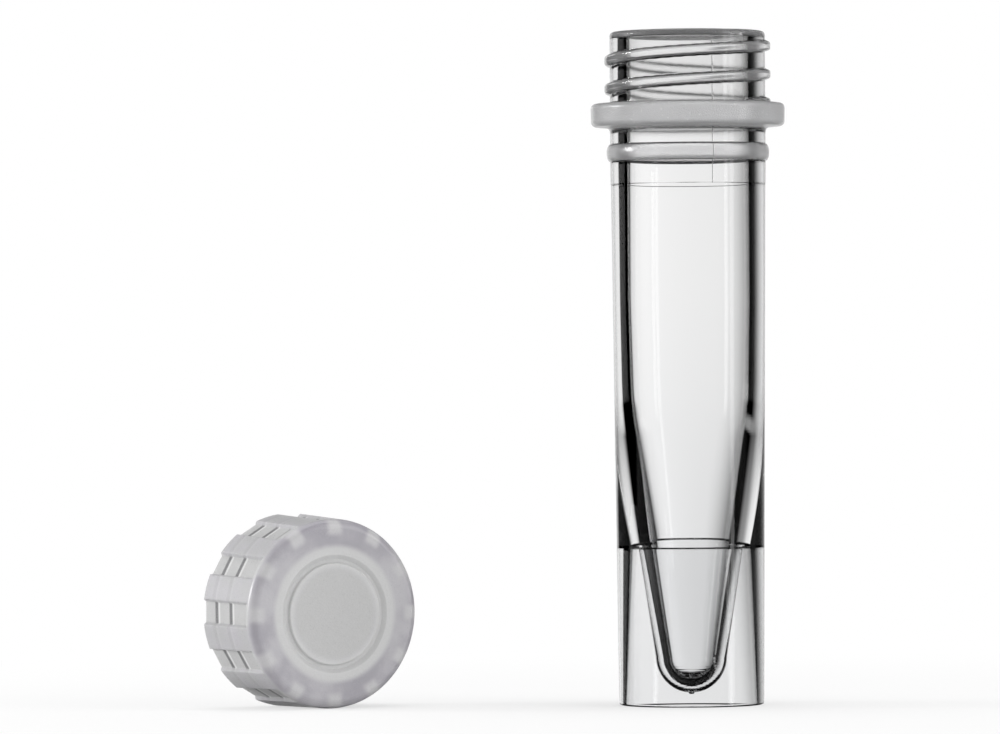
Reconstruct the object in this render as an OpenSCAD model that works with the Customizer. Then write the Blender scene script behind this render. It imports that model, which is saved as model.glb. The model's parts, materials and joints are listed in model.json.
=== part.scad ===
// Screw-cap micro tube of 1.5 mL that stands on its own skirt. The cap is off and lies beside it.
// The tube's foot is centred on the origin, +Z is up and the viewer's side is -Y.

/* [Tube] */
// Height from the foot to the rim
tube_h = 45; // [42:0.5:50]
// Outside diameter of the neck
neck_d = 10.4; // [10:0.05:10.8]
// Outside diameter at the foot
foot_d = 9.7; // [9.2:0.05:10]
// Bore at the mouth
bore_d = 8.16; // [7.9:0.02:8.4]
// Length of the straight bore below the rim
bore_len = 18; // [14:0.5:20]
// What the bore narrows by, in diameter, from its straight part to the cone
bore_taper = 0.32; // [0.1:0.02:0.6]
// Height at which the inner cone starts
cone_z = 19.8; // [17:0.2:21]
// Inside diameter of the cone where the skirt's hollow ends
waist_d = 5.2; // [4.6:0.1:5.6]
// Rounding of the rim's outer edge
rim_edge = 0.25; // [0.1:0.05:0.35]
// Bevel of the bore's mouth, on which the sealing ring never rests
mouth_edge = 0.42; // [0.15:0.01:0.45]

/* [Tip and skirt] */
// Inside diameter where the cone turns into the tip
tip_d = 2.96; // [2.2:0.04:3.2]
// Height at which the cone turns into the tip
tip_z = 3.3; // [2.6:0.1:4]
// Gap from the bench up to the tip
tip_clear = 0.9; // [0.5:0.1:1.2]
// Thickness of the tip's floor
tip_floor = 0.9; // [0.5:0.1:1.1]
// Wall of the cone inside the skirt
cone_wall = 0.9; // [0.7:0.05:1.1]
// Height of the hollow between the cone and the skirt
skirt_h = 10.6; // [8:0.2:13]
// Wall of the skirt at the top of its hollow
skirt_wall = 0.85; // [0.6:0.05:0.95]
// Wall of the skirt at the foot
foot_wall = 0.5; // [0.35:0.05:0.8]

/* [Collar and bead] */
// Diameter of the collar
collar_d = 13; // [12.4:0.1:14]
// Thickness of the collar
collar_t = 1.55; // [1.2:0.05:2.2]
// Rounding of the collar's edges
collar_edge = 0.33; // [0.15:0.01:0.5]
// How far the small bead below the collar stands out from the body
bead_out = 0.24; // [0.15:0.01:0.5]
// Height of the bead
bead_h = 1.15; // [0.9:0.05:1.8]
// Gap between the collar and the bead
bead_gap = 1.17; // [0.6:0.01:2]

/* [Thread] */
// Length of the neck above the collar
neck_h = 4.8; // [4.6:0.1:5.6]
// Rise of the thread in one turn
thread_pitch = 1.9; // [1.7:0.05:2.1]
// Turns of thread on the neck
thread_turns = 2.35; // [1.4:0.05:2.4]
// Height of the thread's ridge above the neck
thread_rise = 0.36; // [0.25:0.01:0.42]
// Width of the thread's ridge
thread_w = 0.72; // [0.6:0.02:0.9]
// Play between the neck's thread and the cap's
thread_play = 0.1; // [0.06:0.01:0.15]
// Distance from the rim down to the middle of the ridge where it ends
thread_top = 0.57; // [0.5:0.01:1]

/* [Cap] */
// Wall of the cap, from the root of its thread out to its ribs
cap_wall = 0.84; // [0.75:0.01:1.3]
// Thickness of the cap's top
cap_top = 1; // [0.8:0.05:1.6]
// Gap left between the closed cap and the collar
cap_gap = 0.3; // [0.2:0.05:0.7]
// What the cap narrows by, in diameter, from its open end to its top
cap_taper = 0.4; // [0.1:0.05:0.6]
// Rounding of the cap's top edge
cap_edge = 0.6; // [0.3:0.05:0.8]
// Number of grip ribs, a multiple of four so that the cap lies level on a pair of them
rib_count = 12; // [8:4:16]
// Width of the slots between the ribs
slot_w = 1.4; // [1:0.05:1.6]
// Depth of the slots
slot_depth = 0.28; // [0.15:0.01:0.35]
// Band left uncut between the slots and the cap's top face
slot_band = 0.75; // [0.6:0.05:1.2]
// Outside diameter of the shallow groove in the top face
groove_d = 7.9; // [7:0.1:9]
// Width of that groove
groove_w = 0.55; // [0.3:0.05:0.8]
// Depth of that groove
groove_depth = 0.2; // [0.1:0.05:0.35]

/* [Sealing ring] */
// Thickness of the sealing ring
ring_t = 1; // [0.8:0.02:1.06]
// Play of the ring in its seat
ring_play = 0.04; // [0.02:0.01:0.05]

/* [Placing] */
// The cap lies beside the tube or is screwed on
cap_place = "off"; // [off, on]
// Distance from the tube to the middle of the cap that is off
cap_away = 25.4; // [20:0.2:40]
// Turn of the cap that is off, towards the tube
cap_yaw = 30; // [0:1:60]

/* [Hidden] */
$fn = 96;

neck_r = neck_d / 2;
foot_r = foot_d / 2;
bore_r = bore_d / 2;
collar_r = collar_d / 2;

collar_top = tube_h - neck_h;
collar_z = collar_top - collar_t;
bead_top = collar_z - bead_gap;
bead_z = bead_top - bead_h;
small_edge = 0.15;
under_collar = 0.25;
mouth_bevel = min(mouth_edge, neck_r - bore_r - rim_edge - 0.2);

ring_mean_r = (bore_r + neck_r) / 2;
cap_depth = neck_h - cap_gap + ring_t + 2 * ring_play;
cap_h = cap_depth + cap_top;
seat_z = collar_top + cap_gap;
cap_root_r = neck_r + thread_rise + thread_play;
cap_r = cap_root_r + cap_wall;
gland_r = ring_mean_r + ring_t / 2 + ring_play;
boss_r = ring_mean_r - ring_t / 2 - ring_play;
boss_h = 0.7 * ring_t;
gland_z = cap_depth - 0.9 * ring_t;
mouth_flare = 0.25;

thread_end_angle = 75;
thread_sink = 0.2;
thread_fade = 28;
rings_per_turn = 40;
cap_ridge_w = min(thread_pitch - thread_w - 2 * thread_play, 1.15 * thread_w);
cap_ridge_low = cap_ridge_w / 2 + mouth_flare;
cap_ridge_high = gland_z - cap_ridge_w / 2 - 0.15;

slot_pitch = 360 / rib_count;
slot_mouth_w = slot_w + 1.2 * slot_depth;
slot_edge_angle = asin(slot_mouth_w / 2 / cap_r);
slot_top = cap_h - max(slot_band, cap_edge);

// The cap lies on the edges of two ribs at its open end and on the band above its slots
rib_rest_r = cap_side_r(small_edge) * cos(slot_edge_angle);
lie_tilt = atan((rib_rest_r - cap_side_r(slot_top)) / (slot_top - small_edge));
lie_h = rib_rest_r * cos(lie_tilt) + (small_edge - cap_h / 2) * sin(lie_tilt);

// Points of an arc about a centre, from one angle to another
function arc(centre, r, from, to, n = 8) =
    [for (i = [0:n]) centre + r * [cos(from + (to - from) * i / n), sin(from + (to - from) * i / n)]];

// A quarter of an ellipse that goes down from the wall at radius a to the axis
function dome(a, b, z, n = 12) = [for (i = [0:n]) [a * cos(90 * i / n), z - b * sin(90 * i / n)]];

// A rounded bulge on a wall of radius r: half an ellipse that stands out and is h high, from z up
function bulge(r, out, z, h, n = 10) =
    [for (i = [0:n]) [r + out * sin(180 * i / n), z + h / 2 * (1 - cos(180 * i / n))]];

// Radius of the tube's drafted outer wall at a height
function wall_r(z) = foot_r + (neck_r - foot_r) * z / bead_z;

// Radius of the cap's drafted side at a height above its open end
function cap_side_r(z) = cap_r - cap_taper / 2 * z / cap_h;

// Height of the middle of the neck's ridge at an angle, counted on from the thread's upper end
function ridge_z(angle) = tube_h - thread_top + thread_pitch * (angle - thread_end_angle) / 360;

// Angle at which the cap's ridge, half a pitch above the neck's, reaches a height in the cap
function cap_ridge_angle(z) =
    thread_end_angle + 360 / thread_pitch * (z + seat_z - thread_pitch / 2 - tube_h + thread_top);

// Rounded section of a ridge, as [height, place along the axis], with its foot sunk in the wall
function ridge_section(rise, w) = [
    [-thread_sink, -w / 2], [-thread_sink, w / 2],
    [0.5 * rise, 0.47 * w], [0.84 * rise, 0.36 * w], [rise, 0.16 * w],
    [rise, -0.16 * w], [0.84 * rise, -0.36 * w], [0.5 * rise, -0.47 * w]];

// A ridge along a helix on a wall of radius root_r. side is 1 on a shaft and -1 in a bore.
// Towards both ends it sinks into the wall and narrows.
module thread_ridge(root_r, rise, w, side, from, to, z) {
    section = ridge_section(rise, w);
    n = len(section);
    count = ceil((to - from) / 360 * rings_per_turn);
    points = [for (i = [0:count])
        let (turn = (to - from) * i / count,
             near_end = min(1, turn / thread_fade, (to - from - turn) / thread_fade),
             full = sin(90 * near_end))
        for (p = section)
            let (out = p[0] < 0 ? p[0] : p[0] * (0.1 + 0.9 * full) - (1 - full) * thread_sink / 2,
                 r = root_r + side * out)
            [r * cos(from + turn), r * sin(from + turn),
             z + thread_pitch * turn / 360 + p[1] * (0.5 + 0.5 * full)]];
    walls = [for (i = [0:count - 1], j = [0:n - 1])
        let (a = i * n + j, b = i * n + (j + 1) % n)
        each [[a, b, b + n], [a, b + n, a + n]]];
    ends = [[for (j = [n - 1:-1:0]) j], [for (j = [0:n - 1]) count * n + j]];
    faces = concat(walls, ends);
    polyhedron(points, side < 0 ? faces : [for (f = faces) [for (k = [len(f) - 1:-1:0]) f[k]]]);
}

// Half section of the tube's outside: skirt and body, bead, collar, neck and rim
module tube_outline() {
    polygon(concat(
        [[0, 0]],
        arc([foot_r - small_edge, small_edge], small_edge, -90, 0),
        bulge(neck_r, bead_out, bead_z, bead_h),
        arc([neck_r + under_collar, collar_z - under_collar], under_collar, 180, 90),
        arc([collar_r - collar_edge, collar_z + collar_edge], collar_edge, -90, 0),
        arc([collar_r - collar_edge, collar_top - collar_edge], collar_edge, 0, 90),
        [[neck_r, collar_top]],
        arc([neck_r - rim_edge, tube_h - rim_edge], rim_edge, 0, 90),
        [[0, tube_h]]));
}

// Half section of the room in the tube: rounded tip, two cones, narrowing bore and straight mouth
module tube_room() {
    polygon(concat(
        [[0, tube_h + 1], [0, tip_clear + tip_floor]],
        [for (p = dome(tip_d / 2, tip_z - tip_clear - tip_floor, tip_z)) if (p[0] > 0.001) p],
        [[waist_d / 2, skirt_h], [bore_r - bore_taper / 2, cone_z], [bore_r, tube_h - bore_len],
         [bore_r, tube_h - mouth_bevel], [bore_r + mouth_bevel, tube_h],
         [bore_r + mouth_bevel, tube_h + 1]]));
}

// Half section of the hollow under the tube, between the skirt and the cone with its tip
module skirt_hollow() {
    polygon(concat(
        [[0, -1], [foot_r - foot_wall, -1], [foot_r - foot_wall, 0],
         [wall_r(skirt_h) - skirt_wall, skirt_h], [waist_d / 2 + cone_wall, skirt_h]],
        [for (p = dome(tip_d / 2 + cone_wall, tip_z - tip_clear, tip_z)) if (p[0] > 0.001) p],
        [[0, tip_clear]]));
}

module tube() {
    from = thread_end_angle - 360 * thread_turns;
    color([0.86, 0.88, 0.9, 0.45]) {
        rotate_extrude() difference() {
            tube_outline();
            tube_room();
            skirt_hollow();
        }
        thread_ridge(neck_r, thread_rise, thread_w, 1, from, thread_end_angle, ridge_z(from));
    }
}

// Half section of the cap's outside, with its rounded top edge
module cap_outline() {
    top_r = cap_side_r(cap_h - cap_edge);
    polygon(concat(
        [[0, 0]],
        arc([cap_r - small_edge, small_edge], small_edge, -90, 0),
        arc([top_r - cap_edge, cap_h - cap_edge], cap_edge, 0, 90),
        [[0, cap_h]]));
}

// Half section of the shallow groove in the cap's top face, with its sloping outer side
module top_groove() {
    out_r = groove_d / 2;
    polygon([[out_r, cap_h + 1], [out_r, cap_h], [out_r - groove_w / 2, cap_h - groove_depth],
             [out_r - groove_w, cap_h - groove_depth], [out_r - groove_w, cap_h + 1]]);
}

// Half section of the room in the cap: flared mouth, thread bore, and the ring's seat round a boss
module cap_room() {
    polygon([
        [0, -1], [cap_root_r + mouth_flare, -1], [cap_root_r + mouth_flare, 0], [cap_root_r, mouth_flare],
        [cap_root_r, gland_z - (cap_root_r - gland_r)], [gland_r, gland_z], [gland_r, cap_depth],
        [boss_r, cap_depth], [boss_r, cap_depth - boss_h + small_edge],
        [boss_r - small_edge, cap_depth - boss_h], [0, cap_depth - boss_h]]);
}

// One slot between two ribs. Its floor follows the draft of the cap's side and its sides flare out.
module slot() {
    edge_x = cap_r * cos(slot_edge_angle);
    rotate([0, -atan(cap_taper / 2 / cap_h), 0])
        translate([0, 0, -1])
            linear_extrude(slot_top + 1)
                polygon([[cap_r - slot_depth, -slot_w / 2], [edge_x, -slot_mouth_w / 2],
                         [cap_r + 1, -slot_mouth_w / 2], [cap_r + 1, slot_mouth_w / 2],
                         [edge_x, slot_mouth_w / 2], [cap_r - slot_depth, slot_w / 2]]);
}

// Sets what stands in the cap's own frame, open end down, beside the tube or on its neck
module place_cap() {
    if (cap_place == "on")
        translate([0, 0, seat_z]) children();
    else
        translate([-cap_away, 0, lie_h])
            rotate([0, 0, cap_yaw])
                rotate([90 + lie_tilt, 0, 0])
                    translate([0, 0, -cap_h / 2])
                        children();
}

module cap() {
    from = cap_ridge_angle(cap_ridge_low);
    to = cap_ridge_angle(cap_ridge_high);
    color([0.76, 0.76, 0.79]) place_cap() {
        difference() {
            rotate_extrude() difference() {
                cap_outline();
                top_groove();
                cap_room();
            }
            for (i = [0:rib_count - 1])
                rotate([0, 0, i * slot_pitch]) slot();
        }
        thread_ridge(cap_root_r, thread_rise, cap_ridge_w, -1, from, to, cap_ridge_low);
    }
}

// The sealing ring, seated against the top of the cap's inside
module o_ring() {
    color([0.93, 0.93, 0.91]) place_cap()
        translate([0, 0, cap_depth - ring_play - ring_t / 2])
            rotate_extrude() translate([ring_mean_r, 0]) circle(d = ring_t);
}

tube();
cap();
o_ring();
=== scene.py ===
import json
import math

import bpy
import numpy as np
from mathutils import Matrix, Vector


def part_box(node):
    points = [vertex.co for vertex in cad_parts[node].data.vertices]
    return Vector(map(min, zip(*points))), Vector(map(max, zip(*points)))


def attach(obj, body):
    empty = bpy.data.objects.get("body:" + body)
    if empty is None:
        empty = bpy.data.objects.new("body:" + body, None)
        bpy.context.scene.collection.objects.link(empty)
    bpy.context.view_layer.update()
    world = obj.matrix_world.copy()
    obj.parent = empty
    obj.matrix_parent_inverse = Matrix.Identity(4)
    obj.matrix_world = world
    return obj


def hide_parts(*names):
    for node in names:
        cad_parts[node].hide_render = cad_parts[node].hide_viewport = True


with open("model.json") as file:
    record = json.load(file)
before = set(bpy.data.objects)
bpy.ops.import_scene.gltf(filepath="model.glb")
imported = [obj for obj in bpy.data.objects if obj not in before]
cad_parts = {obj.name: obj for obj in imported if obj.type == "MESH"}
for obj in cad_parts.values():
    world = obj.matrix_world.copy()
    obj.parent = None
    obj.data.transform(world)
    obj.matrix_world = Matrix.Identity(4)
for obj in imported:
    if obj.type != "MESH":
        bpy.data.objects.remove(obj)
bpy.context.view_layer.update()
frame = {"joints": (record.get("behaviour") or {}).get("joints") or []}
mm = 0.001  # the pieces' dictionaries are in millimetres and degrees, apart from the depths of bumps
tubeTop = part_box("tube")[1]
capHinge = next(joint for joint in frame["joints"] if joint["name"] == "cap_turn")


# A shader socket as a Python value: an operator on it adds the Math node that works it out
class Value:
    def __init__(self, tree, socket):
        self.tree = tree
        self.socket = socket

    # Any node, from its type, its settings and the values or links of its inputs, as one of its outputs
    def node(self, kind, settings=None, out=0, **inputs):
        made = self.tree.nodes.new(kind)
        for key, value in (settings or {}).items():
            setattr(made, key, value)
        for key, value in inputs.items():
            socket = made.inputs[int(key[1:]) if key[1:].isdigit() else key.replace("_", " ")]
            if isinstance(value, Value):
                self.tree.links.new(value.socket, socket)
            else:
                socket.default_value = value
        return Value(self.tree, made.outputs[out])

    # The node's outputs of these names
    def outputs(self, *names):
        return [Value(self.tree, self.socket.node.outputs[name]) for name in names]

    def maths(self, operation, *others):
        inputs = {f"i{n}": value for n, value in enumerate((self, *others))}
        return self.node("ShaderNodeMath", {"operation": operation}, **inputs)

    def __add__(self, other):
        return self.maths("ADD", other)

    def __radd__(self, other):
        return self.maths("ADD", other)

    def __sub__(self, other):
        return self.maths("SUBTRACT", other)

    def __rsub__(self, other):
        return self.node("ShaderNodeMath", {"operation": "SUBTRACT"}, i0=other, i1=self)

    def __mul__(self, other):
        return self.maths("MULTIPLY", other)

    def __rmul__(self, other):
        return self.maths("MULTIPLY", other)

    def __pow__(self, other):
        return self.maths("POWER", other)

    def __abs__(self):
        return self.maths("ABSOLUTE")

    # Two colours, as tuples or sockets, mixed by a factor
    def mix(self, factor, first, second):
        pair = [(*colour, 1) if isinstance(colour, tuple) else colour for colour in (first, second)]
        return self.node("ShaderNodeMix", {"data_type": "RGBA"}, out=2, i0=factor, i6=pair[0], i7=pair[1])

    # 0 below low, 1 above high and a smooth step between
    def step(self, low, high):
        return self.node("ShaderNodeMapRange", {"interpolation_type": "SMOOTHSTEP"},
                         i0=self, i1=low, i2=high, i3=0.0, i4=1.0)

    # 1 within half of the middle, fading over soft on both sides
    def band(self, middle, half, soft):
        return 1.0 - abs(self - middle).step(half, half + soft)


# A material with one Principled shader, whose uniform values are set on its own sockets. Returns the
# material, the shader's output as a Value and the shader.
def newMaterial(name, **uniform):
    material = bpy.data.materials.new(name)
    material.use_nodes = True
    tree = material.node_tree
    shader = tree.nodes["Principled BSDF"]
    for key, value in uniform.items():
        shader.inputs[key.replace("_", " ")].default_value = value
    return material, Value(tree, shader.outputs[0]), shader


def plug(value, node, socket):
    value.tree.links.new(value.socket, node.inputs[socket])


# How far along a path each of its points lies: the running sum of the distances between them
def lengthsAlong(path):
    return np.concatenate([[0], np.cumsum(np.hypot(*np.diff(path, axis=0).T))])


# The points of a path at the given lengths along it, in straight lines between its own points
def resample(path, lengths, places):
    return np.stack([np.interp(places, lengths, path[:, 0]), np.interp(places, lengths, path[:, 1])], 1)


# A path with extra points every step of its length, where wanted(r, z) says so
def refined(path, wanted, step):
    lengths = lengthsAlong(path)
    fine = np.arange(0, lengths[-1], step)
    r, z = resample(path, lengths, fine).T
    return resample(path, lengths, np.union1d(lengths, fine[wanted(r, z)]))


# A path through (r, z, rounding) corners: a corner becomes an arc tangent to both of its sides, cut in
# even angles. A long straight run gets points near its ends, so that smooth shading bends only where the
# shape does.
def roundedPath(corners, arcSteps=5, arcPiece=0.18, guard=0.03):
    path = [np.array([corners[0][:2]], float)]
    for before, corner, after in zip(corners, corners[1:], corners[2:]):
        here, rounding = np.array(corner[:2], float), corner[2]
        back, on = np.array(before[:2]) - here, np.array(after[:2]) - here
        back, on = back / np.hypot(*back), on / np.hypot(*on)
        half = math.acos(np.clip(back @ on, -1, 1)) / 2
        if rounding == 0 or half > math.radians(89.5):
            path.append(here[None])
            continue
        reach = rounding / math.tan(half)
        centre = here + (back + on) / np.hypot(*(back + on)) * rounding / math.sin(half)
        start, end = here + back * reach - centre, here + on * reach - centre
        turn = math.atan2(start[0] * end[1] - start[1] * end[0], start @ end)
        steps = max(arcSteps, math.ceil(rounding * abs(turn) / arcPiece))
        angles = np.linspace(0, turn, steps + 1)[:, None]
        path.append(centre + np.cos(angles) * start + np.sin(angles) * np.array([-start[1], start[0]]))
    path.append(np.array([corners[-1][:2]], float))
    path = np.concatenate(path)
    lengths = lengthsAlong(path)
    long = np.diff(lengths) > 4 * guard
    extra = np.concatenate([lengths[:-1][long] + guard, lengths[1:][long] - guard])
    return resample(path, lengths, np.union1d(lengths, extra))


# The (r, z) path carried round the axis: x is r times the cosine of the angle, y is r times its sine, and
# z is the path's. grow(r, z, angle) may change r.
def revolved(path, angles, grow):
    r = path[:, :1] + 0 * angles
    z = path[:, 1:] + 0 * angles
    angle = angles + 0 * z
    r = grow(r, z, angle)
    return np.stack([r * np.cos(angle), r * np.sin(angle), z], -1)


# Height over its wall of a rounded ridge that climbs along a helix. From the ridge's middle line, the
# height falls as the square root of 1 - u^4, where u is the distance over half the width. Both ends sink
# and narrow.
def ridgeHeight(z, angle, thread):
    span = thread["toAngle"] - thread["fromAngle"]
    degrees = np.degrees(angle) - thread["fromAngle"]
    climb = z - thread["startHeight"]
    turns = np.round((climb - thread["pitch"] * degrees / 360) / thread["pitch"])
    best = np.zeros_like(z)
    for near in (-1, 0, 1):
        along = degrees + 360 * (turns + near)
        close = np.clip(np.minimum(along, span - along) / thread["fade"], 0, 1)
        full = np.sin(np.pi / 2 * close)
        halfWidth = thread["width"] / 2 * (0.5 + 0.5 * full)
        u = np.abs(climb - thread["pitch"] * along / 360) / halfWidth
        rise = thread["rise"] * (0.1 + 0.9 * full)
        height = rise * np.sqrt(np.clip(1 - u ** 4, 0, 1)) - (1 - full) * 0.1
        inside = (along >= 0) & (along <= span) & (u < 1)
        best = np.maximum(best, np.where(inside, height, 0))
    return best


# A mesh from a grid of points (rows, columns, 3) whose columns close round. The first and last rows lie
# on the axis, and each becomes one point with a fan of triangles. With closedRows, the last row joins the
# first.
def gridPiece(name, grid, material, closedRows=False):
    rows, columns = grid.shape[:2]
    if closedRows:
        points = grid.reshape(-1, 3)
        index = np.arange(rows * columns).reshape(rows, columns)
        index = np.concatenate([index, index[:1]])
    else:
        points = np.concatenate([grid[:1, 0], grid[1:-1].reshape(-1, 3), grid[-1:, 0]])
        index = 1 + np.arange((rows - 2) * columns).reshape(rows - 2, columns)
        ends = np.zeros((1, columns), int)
        index = np.concatenate([ends, index, ends + len(points) - 1])
    beside = np.roll(index, -1, 1)
    quads = np.stack([index[:-1], beside[:-1], beside[1:], index[1:]], -1)
    fans = np.zeros((0, 3), int)
    if not closedRows:
        fans = np.concatenate([quads[0][:, [0, 2, 3]], quads[-1][:, [0, 1, 2]]])
        quads = quads[1:-1]
    quads = quads.reshape(-1, 4)
    first, second, third = points[quads[:, 0]], points[quads[:, 1]], points[quads[:, 2]]
    if np.sum(first * np.cross(second - first, third - first)) < 0:  # the surface is inside out
        quads, fans = quads[:, ::-1], fans[:, ::-1]
    faces = quads.tolist() + fans.tolist()
    mesh = bpy.data.meshes.new(name)
    mesh.from_pydata((points * mm).tolist(), [], faces)
    mesh.polygons.foreach_set("use_smooth", np.ones(len(faces), bool))
    mesh.update()
    mesh.materials.append(material)
    piece = bpy.data.objects.new(name, mesh)
    bpy.context.scene.collection.objects.link(piece)
    print(f"{name}: {len(points)} points, {len(faces)} faces")
    return piece


# The tube stands on its skirt's foot at the origin. Heights are above the foot.
tubeLook = {
    "height": round(tubeTop[2] / mm, 3), "neckR": 5.2, "footR": 4.85, "mouthBevel": 0.42, "rimRound": 0.25,
    "boreR": 4.08, "boreBottom": 27.0, "coneTopR": 3.92, "coneTop": 19.8, "waistR": 2.6, "waistZ": 10.6,
    "tipR": 1.48, "tipZ": 3.3, "tipFloorZ": 1.8,  # the inside, from the mouth down
    "boreRound": 60, "coneTopRound": 30, "waistRound": 12,
    "coneWall": 0.9, "tipUnderZ": 0.9, "pipR": 0.2, "pipDrop": 0.09, "skirtWall": 0.92, "footWall": 0.45,
    "collarR": round(tubeTop[0] / mm, 3), "collarLow": 38.65, "collarHigh": 40.2, "collarRound": 0.33,
    "collarDraft": 0.03, "underCollarRound": 0.42, "beadOut": 0.24, "beadLow": 36.33, "beadHigh": 37.48,
    "thread": {"fromAngle": -771.0, "toAngle": 75.0, "startHeight": 39.965, "pitch": 1.9, "rise": 0.36,
               "width": 0.72, "fade": 28.0},
    "partingAngle": -73.0, "partingFirst": 0.15, "partingGrowth": 1.25, "partingHeight": 0.035,
    "partingWidth": 0.35, "witnessZ": 34.8, "witnessStep": 0.02, "witnessHalf": 0.02,
    "ior": 1.53, "glint": (0.3, 0.3, 0.3),  # glint tones the reflections down
    "clearColour": (1.0, 1.0, 1.0), "lowShadeColour": (0.95, 0.952, 0.955), "lowColourFade": (8, 30),
    "frostColour": (0.96, 0.96, 0.97), "frostRoughness": 0.22, "frostCoat": 0.8, "coatRoughness": 0.18,
    "frostDrop": 0.17, "collarFrostHalf": 0.92, "beadFrostHalf": 0.5, "beadFrost": 0.6,
    "ridgeRoughness": 0.07, "boreRoughness": 0.45, "hazeFade": (-1.0, 2.0), "boreSkin": 0.3,
    "milkColour": (0.92, 0.92, 0.935), "milkRoughness": 0.45,
    "milk": 0.32, "ridgeMilk": 0.16, "rimMilk": 0.16,
    "sparkle": 0.4, "sparkleScale": 12000.0, "sparkleDepth": 0.00008,  # the depth is in metres
}


# Radius of the tube's outside at a height, without the bead, collar and thread: a straight line that
# reaches the neck's radius at the bead
def wallR(look, z):
    return look["footR"] + (look["neckR"] - look["footR"]) * z / look["beadLow"]


# The outline of half the tube, from the floor inside up to the mouth, down the outside to the foot and
# back up under the cone: straight lines joined by arcs. The tip is a quarter of an ellipse inside and
# outside, and the bead is half of one.
def tubePath(look, tipSteps=17, beadSteps=14):
    down = np.linspace(0, np.pi / 2, tipSteps + 1)[1:-1]
    inDepth, outDepth = look["tipZ"] - look["tipFloorZ"], look["tipZ"] - look["tipUnderZ"]
    outR = look["tipR"] + look["coneWall"]
    inTip = [(look["tipR"] * math.sin(a), look["tipZ"] - inDepth * math.cos(a), 0) for a in down]
    outTip = [(outR * math.sin(a), look["tipZ"] - outDepth * math.cos(a), 0) for a in down[::-1]]
    middle, half = (look["beadHigh"] + look["beadLow"]) / 2, (look["beadHigh"] - look["beadLow"]) / 2
    bead = [(look["neckR"] + look["beadOut"] * math.sin(a), middle + half * math.cos(a), 0)
            for a in np.linspace(0, np.pi, beadSteps + 1)]
    bevelR, bevelZ = look["boreR"] + look["mouthBevel"], look["height"] - look["mouthBevel"]
    ceilingR = wallR(look, look["waistZ"]) - look["skirtWall"]
    witnessR, pipZ = wallR(look, look["witnessZ"]), look["tipUnderZ"] - look["pipDrop"]
    corners = [
        (0, look["tipFloorZ"], 0), *inTip, (look["tipR"], look["tipZ"], 0),
        (look["waistR"], look["waistZ"], look["waistRound"]),
        (look["coneTopR"], look["coneTop"], look["coneTopRound"]),
        (look["boreR"], look["boreBottom"], look["boreRound"]),
        (look["boreR"], bevelZ, 0.05), (bevelR, look["height"], 0.05),
        (look["neckR"], look["height"], look["rimRound"]), (look["neckR"], look["collarHigh"], 0.12),
        (look["collarR"], look["collarHigh"], look["collarRound"]),
        (look["collarR"] - look["collarDraft"], look["collarLow"], look["collarRound"]),
        (look["neckR"], look["collarLow"], look["underCollarRound"]), *bead,
        (witnessR, look["witnessZ"] + look["witnessHalf"], 0.01),
        (witnessR - look["witnessStep"], look["witnessZ"] - look["witnessHalf"], 0.01),
        (look["footR"], 0, 0.15), (look["footR"] - look["footWall"], 0, 0.1),
        (ceilingR, look["waistZ"], 0.12), (look["waistR"] + look["coneWall"], look["waistZ"], 0.15),
        (outR, look["tipZ"], 0), *outTip,
        (look["pipR"], look["tipUnderZ"], 0.05), (look["pipR"] - 0.06, pipZ, 0.04), (0, pipZ, 0)]
    neckR, low, high = look["neckR"] - 0.1, look["collarHigh"] + 0.12, look["height"] - 0.25
    return refined(roundedPath(corners), lambda r, z: (r > neckR) & (z > low) & (z < high), 0.05)


# Even angles, with steps that grow by a fixed ratio on both sides of the parting line
def tubeAngles(look, count=210, nearCount=10):
    ratio = look["partingGrowth"]
    near = look["partingFirst"] * (ratio ** np.arange(nearCount) - 1) / (ratio - 1)
    rest = np.linspace(near[-1], 360 - near[-1], count)[1:-1]
    return np.radians(look["partingAngle"] + np.concatenate([-near[:0:-1], near, rest]))


# Adds the thread to the neck, and to the outside above the witness line a bell curve of the angle, which
# is the mould's parting line. Small margins keep both off the surfaces next to them.
def tubeGrow(look):
    def grow(r, z, angle):
        neck = (z > look["collarHigh"] + 0.05) & (z < look["height"] - 0.01) & (r > look["neckR"] - 0.06)
        r = r + np.where(neck, ridgeHeight(z, angle, look["thread"]), 0)
        away = np.degrees(np.angle(np.exp(1j * (angle - math.radians(look["partingAngle"])))))
        line = look["partingHeight"] * np.exp(-(away / look["partingWidth"]) ** 2)
        outside = (r > look["footR"] - 0.3) & (r < look["neckR"] + look["beadOut"] + 0.05)
        lined = outside & (z > look["witnessZ"]) & (z < look["height"] - 0.2)
        return r + np.where(lined, line, 0)
    return grow


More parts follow.
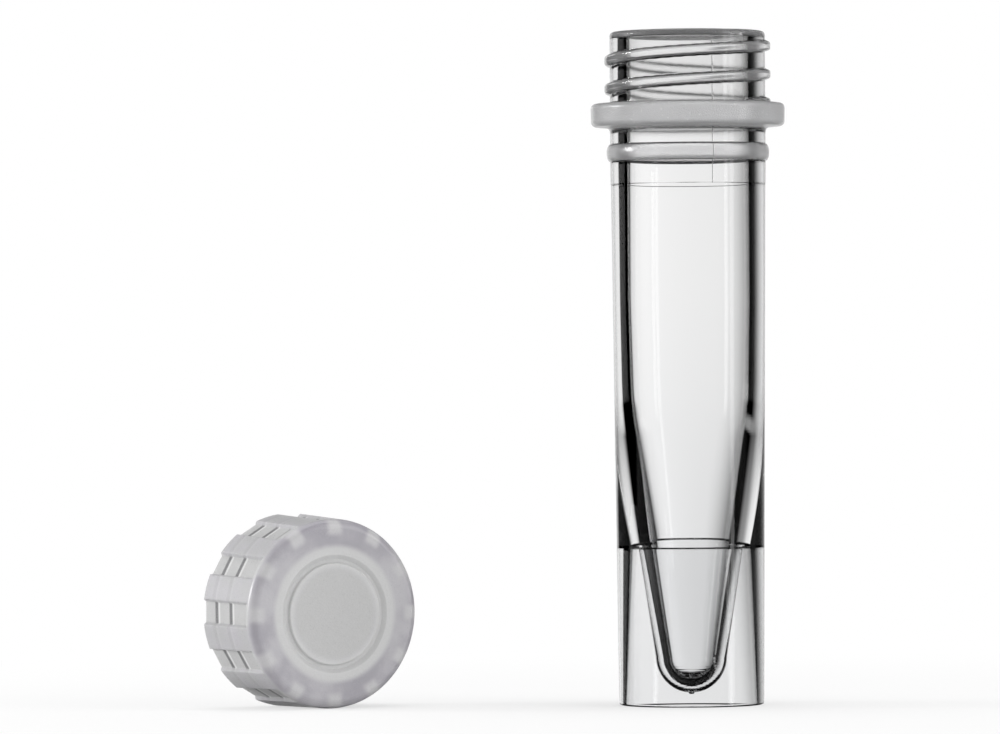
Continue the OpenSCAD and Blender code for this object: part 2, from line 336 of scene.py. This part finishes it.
# Clear plastic. The collar and bead are frosted by rough transmission, a fine bump, a gloss over it and a
# share of a milky surface. The neck's bore is hazed on its far side, the one towards +Y.
def tubeMaterial(look):
    material, tree, shader = newMaterial(
        "clearPlastic", Transmission_Weight=1.0, IOR=look["ior"], Coat_Roughness=look["coatRoughness"],
        Specular_Tint=(*look["glint"], 1))
    place = tree.node("ShaderNodeTexCoord", out=3)
    x, y, z = tree.node("ShaderNodeSeparateXYZ", i0=place).outputs("X", "Y", "Z")
    r = (x * x + y * y) ** 0.5
    high = z * 1000
    proud = (r - (look["neckR"] + 0.03) * mm) * 1000
    collarZ, beadZ = (look["collarLow"] + look["collarHigh"]) / 2, (look["beadLow"] + look["beadHigh"]) / 2
    collar = high.band(collarZ - look["frostDrop"], look["collarFrostHalf"], 0.05) * proud.step(0.0, 0.15)
    bead = high.band(beadZ, look["beadFrostHalf"], 0.12) * proud.step(-0.03, 0.05)
    ridge = high.step(look["collarHigh"] + 0.1, look["collarHigh"] + 0.2) * proud.step(0.05, 0.2)
    rim = high.step(look["height"] - 0.5, look["height"] - 0.3)
    skin = collar + bead * look["beadFrost"]
    inBore = 1 - (r * 1000).step(look["boreR"], look["boreR"] + look["boreSkin"])
    haze = high.step(look["collarLow"] - 2, look["collarLow"]) * inBore * (y * 1000).step(*look["hazeFade"])
    grain = tree.node("ShaderNodeTexNoise", Vector=place, Scale=look["sparkleScale"], Detail=1.0,
                      Roughness=0.6)
    # Below about 30 mm the glass's colour darkens towards the foot: painted shade.
    colour = tree.mix(high.step(*look["lowColourFade"]), look["lowShadeColour"], look["clearColour"])
    rough = skin * (look["frostRoughness"] - 0.1 + grain * 0.2) + ridge * look["ridgeRoughness"]
    bump = tree.node("ShaderNodeBump", Strength=look["sparkle"], Distance=look["sparkleDepth"],
                     Height=grain * skin)
    plug(tree.mix(skin, colour, look["frostColour"]), shader, "Base Color")
    plug(rough + haze * look["boreRoughness"], shader, "Roughness")
    plug(bump, shader, "Normal")
    plug(skin * look["frostCoat"], shader, "Coat Weight")
    milk = tree.node("ShaderNodeBsdfPrincipled", IOR=look["ior"], Base_Color=(*look["milkColour"], 1),
                     Roughness=look["milkRoughness"], Normal=bump, Subsurface_Weight=0.3,
                     Subsurface_Scale=0.001, Subsurface_Radius=(1.0, 1.0, 1.0))
    share = skin * look["milk"] + ridge * look["ridgeMilk"] + rim * look["rimMilk"]
    both = tree.node("ShaderNodeMixShader", i0=share, i1=tree, i2=milk)
    plug(both, tree.tree.nodes["Material Output"], "Surface")
    return material


tube = gridPiece("clearTube", revolved(tubePath(tubeLook), tubeAngles(tubeLook), tubeGrow(tubeLook)),
                 tubeMaterial(tubeLook))
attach(tube, "tube")
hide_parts("tube")
print("tube done")


# The cap is worked out open end down in its own frame, and then laid where its hinge says
capLook = {
    "rimR": 6.5, "height": 6.58, "taper": 0.2, "rootR": 5.66, "flare": 0.25,
    "glandR": 5.18, "glandZ": 4.68, "depth": 5.58, "bossR": 4.1, "bossZ": 4.88,
    "topEdge": 0.6, "topRings": (1.2, 2.4), "grooveR": 3.95, "grooveW": 0.55, "grooveDepth": 0.2,
    "ribs": 12, "slotHalf": 0.7, "slotMouth": 0.868, "slotDepth": 0.28, "slotTop": 5.83,
    "thread": {"fromAngle": 0.0, "toAngle": 0.0, "startHeight": 0.0, "pitch": 1.9, "rise": 0.36,
               "width": 0.828, "fade": 28.0},  # capThread works out where it starts and ends
    "seatGap": 0.3, "threadGap": 0.15,  # over the collar with the cap on, and below the gland
    "discR": 3.3, "ringR": 4.3, "windowHalf": 0.25, "windowR": 5.8, "windowDeep": 0.25, "windowSoft": 0.5,
    "discColour": (0.52, 0.52, 0.52), "ringColour": (0.6, 0.6, 0.6), "litWindowColour": (0.56, 0.555, 0.565),
    "lilac": (0.5, 0.49, 0.515), "lilacDeep": (0.36, 0.345, 0.385), "blotchScale": 0.28,
    "ribColour": (0.48, 0.48, 0.485), "ribTint": (0.5, 0.49, 0.515), "litSlotColour": (0.54, 0.54, 0.54),
    "threadShadeColour": (0.2, 0.2, 0.205), "threadHighlightColour": (0.76, 0.76, 0.76),
    "slotThrough": 0.85, "wallThrough": 0.12, "roughness": 0.3, "speckle": 2.4,
    "bump": 0.3, "bumpDepth": 0.00003,  # the depth is in metres
}


# The cap's thread, at the angles where its ridge runs half a pitch above the neck's when the cap is on
def capThread(look, neck):
    pitch, half = look["thread"]["pitch"], look["thread"]["width"] / 2
    seat = neck["collarHigh"] + look["seatGap"]
    turns = (neck["thread"]["toAngle"] - neck["thread"]["fromAngle"]) / 360
    top = neck["thread"]["startHeight"] + pitch * turns

    def angleAt(z):
        return neck["thread"]["toAngle"] + 360 / pitch * (z + seat - pitch / 2 - top)

    low, high = half + look["flare"], look["glandZ"] - half - look["threadGap"]
    return dict(look["thread"], fromAngle=angleAt(low), toAngle=angleAt(high), startHeight=low)


# Radius of the cap's ribs at a height: a straight line that draws in towards the top
def sideR(look, z):
    return look["rimR"] - look["taper"] * z / look["height"]


# The outline of half the cap, from the middle of its top over the groove and down the side, and back up
# inside past the thread's wall and the gland to the boss: straight lines joined by arcs
def capPath(look):
    h, rootR, glandZ = look["height"], look["rootR"], look["glandZ"]
    grooveOut, grooveIn = look["grooveR"], look["grooveR"] - look["grooveW"]
    grooveZ = h - look["grooveDepth"]
    innerRing, outerRing = look["topRings"]
    corners = [
        (0, h, 0), (innerRing, h, 0), (outerRing, h, 0), (grooveIn, h, 0.09), (grooveIn, grooveZ, 0.08),
        ((grooveIn + grooveOut) / 2, grooveZ, 0.08), (grooveOut, h, 0.12),
        (sideR(look, h), h, look["topEdge"]),
        (sideR(look, look["slotTop"]), look["slotTop"] + 0.015, 0),
        (sideR(look, look["slotTop"]), look["slotTop"] - 0.015, 0), (look["rimR"], 0, 0.15),
        (rootR + look["flare"], 0, 0.05), (rootR, look["flare"], 0.05),
        (rootR, glandZ - rootR + look["glandR"], 0.05), (look["glandR"], glandZ, 0.05),
        (look["glandR"], look["depth"], 0.1), (look["bossR"], look["depth"], 0.1),
        (look["bossR"], look["bossZ"], 0.15), (outerRing, look["bossZ"], 0), (0, look["bossZ"], 0)]
    return refined(roundedPath(corners, 6), lambda r, z: (abs(r - rootR) < 0.02) & (z < glandZ), 0.045)


# The same angles on both sides of every slot's middle, closest at the slot's edges. Each is the arc sine
# of a distance from the slot's middle over the rim's radius.
def capAngles(look):
    across = np.array([0, 0.3, 0.55, 0.64, 0.69, 0.71, 0.75, 0.79, 0.83, 0.86, 0.875, 0.92, 1, 1.2, 1.5])
    half = np.arcsin(across / look["rimR"])
    middles = np.arange(look["ribs"]) * 2 * np.pi / look["ribs"]
    return np.sort((middles[:, None] + np.concatenate([-half[:0:-1], half])).ravel() % (2 * np.pi))


# Cuts a flat-floored slot between the ribs, whose sides run out along a curve, and adds the thread to the
# bore, inwards
def capGrow(look, thread):
    def grow(r, z, angle):
        pitch = 2 * np.pi / look["ribs"]
        local = (angle + pitch / 2) % pitch - pitch / 2
        outR = sideR(look, z)
        across = np.abs(r * np.sin(local))
        deep = np.clip((look["slotMouth"] - across) / (look["slotMouth"] - look["slotHalf"]), 0, 1)
        deep = deep * deep * (3 - 2 * deep) * 0.5 + deep * 0.5
        floorR = (outR - look["slotDepth"]) / np.cos(local)
        cut = np.minimum(r, outR * (1 - deep) + floorR * deep)
        slotted = (r > look["rimR"] - 0.45) & (z < look["slotTop"] - 0.001)
        r = np.where(slotted, cut, r)
        bore = (abs(r - look["rootR"]) < 0.03) & (z < look["glandZ"])
        return r - np.where(bore, ridgeHeight(z, angle, thread), 0)
    return grow


capAxis = Vector(capHinge["axis"]).normalized()
capAcross = Vector((0, 0, 1)).cross(capAxis).normalized()
capTurn = np.array([capAcross, capAxis.cross(capAcross), capAxis])
capMiddle = np.array(capHinge["pos_m"]) / mm


# Points in the cap's own frame, turned by its three axes and moved so that its middle is on the hinge
def layDown(grid):
    return (grid - np.array([0, 0, capLook["height"] / 2])) @ capTurn + capMiddle


# Object coordinates turned into the cap's own, in millimetres from its middle
def capPlace(tree):
    turnBack = Matrix(capTurn.tolist()).transposed().to_euler()
    place = tree.node("ShaderNodeTexCoord", out=3)
    return tree.node("ShaderNodeMapping", {"vector_type": "TEXTURE"}, Vector=place,
                     Location=(capMiddle * mm).tolist(), Rotation=turnBack, Scale=(mm, mm, mm))


# Milky plastic. The top has a plain disc, a soft pale ring and a blotched lilac border, in which pale
# windows over the slots are painted light. On the side the slots are painted lighter than the ribs, and the
# thread inside is painted as a dark line of shade under a bright highlight line, more so where the slots
# leave the wall thin.
def capMaterial(look, thread):
    material, tree, shader = newMaterial("milkyPlastic", IOR=1.49, Subsurface_Weight=0.25,
                                         Subsurface_Scale=0.0012, Subsurface_Radius=(1.0, 1.0, 1.0))
    place = capPlace(tree)
    x, y, middleUp = tree.node("ShaderNodeSeparateXYZ", i0=place).outputs("X", "Y", "Z")
    z = middleUp + look["height"] / 2
    r = (x * x + y * y) ** 0.5
    degrees = y.maths("ARCTAN2", x) * (180 / math.pi)
    ribPitch = 360 / look["ribs"]
    local = (degrees + ribPitch / 2).maths("FLOORED_MODULO", ribPitch) - ribPitch / 2
    across = abs(r * (local * (math.pi / 180)).maths("SINE"))
    cloud = tree.node("ShaderNodeTexNoise", Vector=place, Scale=0.7, Detail=4.0, Roughness=0.6)
    grain = tree.node("ShaderNodeTexNoise", Vector=place, Scale=9.0, Detail=3.0, Roughness=0.65)
    blotch = tree.node("ShaderNodeTexNoise", Vector=place, Scale=look["blotchScale"], Detail=3.0,
                       Roughness=0.55)

    face = z.step(look["slotTop"] + 0.1, look["slotTop"] + 0.5)
    wall = r.step(look["rootR"] + 0.1, look["rootR"] + 0.3) * (1 - face)
    disc = 1 - r.step(look["discR"] - 0.5, look["discR"] + 0.2)
    ring = r.band((look["discR"] + look["ringR"]) / 2, (look["ringR"] - look["discR"]) / 2, 0.5)
    ragged = across + (cloud - 0.5) * 0.6
    # Pale windows at the border over each slot: painted light.
    window = (1 - ragged.step(look["windowHalf"], look["windowHalf"] + 0.5)) * \
        r.band(look["windowR"], look["windowDeep"], look["windowSoft"])
    slot = (1 - across.step(look["slotHalf"] - 0.05, look["slotHalf"] + 0.06)) * wall

    turned = z - thread["startHeight"] - (degrees - thread["fromAngle"]) * (thread["pitch"] / 360)
    offset = (turned + thread["pitch"] / 2).maths("FLOORED_MODULO", thread["pitch"]) - thread["pitch"] / 2
    middle = (thread["startHeight"] + look["glandZ"]) / 2
    half = (look["glandZ"] - thread["startHeight"]) / 2
    # How strongly the thread's painted shade and highlight show: more in the slots than on the ribs.
    through = z.band(middle, half, 0.3) * (slot * look["slotThrough"] + wall * look["wallThrough"])

    top = tree.mix((blotch + (grain - 0.5) * 0.4).step(0.36, 0.66), look["lilac"], look["lilacDeep"])
    top = tree.mix(ring, tree.mix(disc, top, look["discColour"]), look["ringColour"])
    top = tree.mix(window, top, look["litWindowColour"])
    ribs = tree.mix(cloud.step(0.3, 0.7), look["ribColour"], look["ribTint"])
    # The slots are lighter than the ribs: painted light, where the wall is thinner.
    side = tree.mix(slot, ribs, look["litSlotColour"])
    # Over each turn of the inner thread: a dark band of painted shade, and above it a thin pale band of
    # painted highlight.
    side = tree.mix(offset.band(-0.16, 0.13, 0.14) * through, side, look["threadShadeColour"])
    side = tree.mix(offset.band(0.16, 0.06, 0.12) * through * 0.8, side, look["threadHighlightColour"])
    colour = tree.mix(face, side, top)
    paler = tree.mix(0.9, (1.0, 1.0, 1.0), colour)
    plug(tree.mix((grain - 0.5) * look["speckle"] + 0.5, colour, paler), shader, "Base Color")
    plug(look["roughness"] + (grain - 0.5) * 0.15, shader, "Roughness")
    bump = tree.node("ShaderNodeBump", Strength=look["bump"], Distance=look["bumpDepth"], Height=grain)
    plug(bump, shader, "Normal")
    return material


meshedThread = capThread(capLook, tubeLook)
cap = gridPiece("ribbedCap",
                layDown(revolved(capPath(capLook), capAngles(capLook), capGrow(capLook, meshedThread))),
                capMaterial(capLook, meshedThread))
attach(cap, "cap")
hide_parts("cap")
print("cap done")


# The sealing ring sits in the cap's gland, in the cap's own frame
ringLook = {
    "meanR": 4.64, "halfThick": 0.5, "z": 5.04, "flash": 0.012, "flashWidth": 0.09,
    "colour": (0.78, 0.78, 0.76), "dimmest": 0.93, "roughness": 0.4,
}


# A torus: a circle carried round the axis. A hair of flash on its middle plane is a bell curve of the
# angle round the circle.
def ringGrid(look):
    around = np.linspace(0, 2 * np.pi, 192, endpoint=False)[None, :]
    section = np.linspace(0, 2 * np.pi, 48, endpoint=False)[:, None]
    flash = np.exp(-(np.angle(np.exp(2j * section)) / 2 / look["flashWidth"]) ** 2)
    thick = look["halfThick"] - look["flash"] + look["flash"] * flash
    r = look["meanR"] + thick * np.cos(section) + 0 * around
    z = look["z"] + thick * np.sin(section) + 0 * around
    return np.stack([r * np.cos(around), r * np.sin(around), z], -1)


def ringMaterial(look):
    material, tree, shader = newMaterial("paleSilicone", IOR=1.41, Subsurface_Weight=0.2,
                                         Subsurface_Scale=0.0006, Subsurface_Radius=(1.0, 1.0, 1.0))
    cloud = tree.node("ShaderNodeTexNoise", Vector=capPlace(tree), Scale=1.2, Detail=3.0)
    dimColour = tuple(look["dimmest"] * level for level in look["colour"])
    plug(tree.mix(cloud, look["colour"], dimColour), shader, "Base Color")
    plug(look["roughness"] + (cloud - 0.5) * 0.2, shader, "Roughness")
    return material


ring = gridPiece("sealingRing", layDown(ringGrid(ringLook)), ringMaterial(ringLook), closedRows=True)
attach(ring, "seal")
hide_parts("o_ring")
print("sealing ring done")


# The studio is in metres and degrees, and its lens in millimetres. Each glow list gives the brightness at
# some degrees from the line of sight, across or upward, in straight lines between. A card adds a patch of
# light with its own two lists.
studio = {
    "worldLevel": 0.6, "floorR": 4.0, "floorGap": 0.00001, "floorColour": (0.86, 0.86, 0.86),
    "floorGlow": 0.62, "floorFade": (0.03, 0.09),
    "cameraX": -0.01267, "cameraZ": 0.02266, "cameraAway": 0.48, "lens": 258.3,
    "roll": 0.4, "backdropR": 2.0,
    "glowAcross": [(-180, 0.1), (-105, 0.3), (-90, 0.5), (-86, 0), (-28, 0), (-25, 0.5), (-20, 0.9),
                   (-15, 0.99), (-8, 0.97), (-3, 0.92), (3, 0.88), (9, 0.85), (14, 0.72), (20, 0.58),
                   (26, 0.45), (32, 0.25), (38, 0.1), (44, 0), (80, 0), (95, 0.4), (108, 0.25),
                   (111, 6), (115, 6), (118, 0.2), (180, 0.1)],
    "glowUpward": [(-16.5, 0), (-14.5, 0.65), (-12.5, 0.88), (-10.5, 1), (9, 1), (17, 0)],
    "cards": [([(26, 0), (36, 0.18), (48, 0.3), (62, 0.25), (72, 0)],
               [(-17, 0), (-15.5, 1), (-13.5, 1), (-11.5, 0)]),
              ([(-28, 0), (-26, 0.4), (-19, 0)], [(-8, 0), (-6, 1), (9, 1), (12, 0)]),
              ([(58, 0), (62, 0.5), (74, 0.5), (78, 0)], [(-9, 0), (-7, 1), (-3, 1), (-1.5, 0)])],
    "lampAim": (-0.0125, 0.0, 0.02),
    "lamps": [("keyLamp", (-0.45, 0.05, 0.13), 0.12, 1.0), ("fillLamp", (0.42, -0.16, 0.20), 0.3, 0.8),
              ("topLamp", (0.0, 0.05, 0.55), 0.35, 0.9)],  # name, place, size and power
}


# 1 for the rays that see the studio as white: the camera's, and those off gloss or through glass
def seenMask(tree):
    rays = tree.node("ShaderNodeLightPath")
    camera, glossy, through = rays.outputs("Is Camera Ray", "Is Glossy Ray", "Is Transmission Ray")
    return (camera + glossy + through).maths("MINIMUM", 1.0)


def makeWorld(look):
    world = bpy.data.worlds.new("studioWorld")
    world.use_nodes = True
    bpy.context.scene.world = world
    background = world.node_tree.nodes["Background"]
    background.inputs["Color"].default_value = (1, 1, 1, 1)
    mask = seenMask(Value(world.node_tree, background.outputs[0]))
    plug(mask * (1 - look["worldLevel"]) + look["worldLevel"], background, "Strength")


# A flat disc a hair below the foot: points at even angles on one circle
def makeFloor(look, count=64):
    angles = np.linspace(0, 2 * np.pi, count, endpoint=False)
    x, y = look["floorR"] * np.cos(angles), look["floorR"] * np.sin(angles)
    points = np.stack([x, y, 0 * angles - look["floorGap"]], 1)
    mesh = bpy.data.meshes.new("floor")
    mesh.from_pydata(points.tolist(), [], [list(range(count))])
    floor = bpy.data.objects.new("floor", mesh)
    bpy.context.scene.collection.objects.link(floor)
    material, tree, shader = newMaterial("paleFloor", Roughness=1.0, Specular_IOR_Level=0.0)
    shader.inputs["Base Color"].default_value = (*look["floorColour"], 1)
    glow = tree.node("ShaderNodeEmission", Color=(1, 1, 1, 1), Strength=1.0)
    place = tree.node("ShaderNodeTexCoord", out=3)
    away = tree.node("ShaderNodeVectorMath", {"operation": "LENGTH"}, out=1, i0=place)
    share = look["floorGlow"] + (1 - look["floorGlow"]) * away.step(*look["floorFade"])
    seen = tree.node("ShaderNodeMixShader", i0=share, i1=tree, i2=glow)
    both = tree.node("ShaderNodeMixShader", i0=seenMask(tree), i1=tree, i2=seen)
    plug(both, tree.tree.nodes["Material Output"], "Surface")
    mesh.materials.append(material)
    floor.visible_glossy = floor.visible_transmission = False


def makeCamera(look):
    data = bpy.data.cameras.new("camera")
    data.lens, data.sensor_width = look["lens"], 36.0
    data.clip_start, data.clip_end = 0.01, 20
    camera = bpy.data.objects.new("camera", data)
    camera.location = (look["cameraX"], -look["cameraAway"], look["cameraZ"])
    camera.rotation_euler = (math.pi / 2, math.radians(look["roll"]), 0)
    bpy.context.scene.collection.objects.link(camera)
    bpy.context.scene.camera = camera
    return camera


# What the glass sees round the line of sight: a sphere about the object that follows the camera. Its glow
# is the curve across times the curve upward, plus the same product for each card, and it is black
# elsewhere. The points are a grid of angles away from the line of sight and round it.
def makeBackdrop(look, camera):
    degreesAway = np.concatenate([np.linspace(0.01, 60, 121), np.linspace(60.7, 179.9, 170)])
    away = np.radians(degreesAway)[:, None]
    around = np.linspace(0, 2 * np.pi, 720, endpoint=False)[None, :]
    x, y, z = np.sin(away) * np.cos(around), np.sin(away) * np.sin(around), -np.cos(away) + 0 * around
    across = np.degrees(np.arctan2(x, -z))
    upward = np.degrees(np.arctan2(y, np.hypot(x, z)))
    glow = np.zeros_like(x)
    for acrossList, upwardList in [(look["glowAcross"], look["glowUpward"]), *look["cards"]]:
        glow += np.interp(across, *zip(*acrossList)) * np.interp(upward, *zip(*upwardList))
    index = np.arange(glow.size).reshape(glow.shape)
    beside = np.roll(index, -1, 1)
    quads = np.stack([index[:-1], beside[:-1], beside[1:], index[1:]], -1).reshape(-1, 4)
    points = np.stack([x, y, z], -1).reshape(-1, 3) * look["backdropR"]
    mesh = bpy.data.meshes.new("backdrop")
    mesh.from_pydata(points.tolist(), [], quads.tolist())
    mesh.attributes.new("glow", "FLOAT", "POINT").data.foreach_set("value", glow.ravel())
    backdrop = bpy.data.objects.new("backdrop", mesh)
    bpy.context.scene.collection.objects.link(backdrop)
    material, tree, shader = newMaterial("backdropGlow")
    level = tree.node("ShaderNodeAttribute", {"attribute_name": "glow"}, out=2)
    light = tree.node("ShaderNodeEmission", Color=(1, 1, 1, 1), Strength=level)
    plug(light, tree.tree.nodes["Material Output"], "Surface")
    mesh.materials.append(material)
    backdrop.parent = camera
    backdrop.location = (0, 0, -look["cameraAway"])
    backdrop.visible_camera = backdrop.visible_diffuse = backdrop.visible_shadow = False


def makeLamps(look):
    for name, place, size, power in look["lamps"]:
        data = bpy.data.lights.new(name, "AREA")
        data.size, data.energy = size, power
        lamp = bpy.data.objects.new(name, data)
        lamp.location = place
        aim = Vector(look["lampAim"]) - Vector(place)
        lamp.rotation_euler = aim.to_track_quat("-Z", "Y").to_euler()
        lamp.visible_transmission = False
        bpy.context.scene.collection.objects.link(lamp)


makeWorld(studio)
makeFloor(studio)
makeBackdrop(studio, makeCamera(studio))
makeLamps(studio)
bpy.context.scene.view_settings.view_transform = "Standard"
print("studio done")
